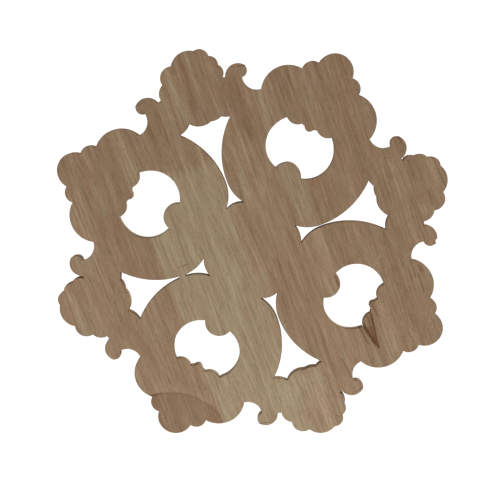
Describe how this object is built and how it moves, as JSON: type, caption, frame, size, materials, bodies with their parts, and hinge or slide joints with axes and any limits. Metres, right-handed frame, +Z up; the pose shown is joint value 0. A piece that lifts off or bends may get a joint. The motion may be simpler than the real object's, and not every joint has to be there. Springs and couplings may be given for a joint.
{
  "type": "carved wood applique",
  "caption": "Openwork carved wood applique for a wall, door or ceiling: a flower with scroll rings and roses, flat at the back.",
  "frame": {"origin": "middle of the flat back", "axes": "+Y out of the flat back into the surface it is fixed to, -Y out of the carving, +Z up the ornament"},
  "size_m": [0.3, 0.018, 0.3],
  "materials": {
    "bare_wood": "bare, sanded, unpolished"
  },
  "bodies": {
    "root": {"applique": "bare_wood"}
  },
  "joints": []
}
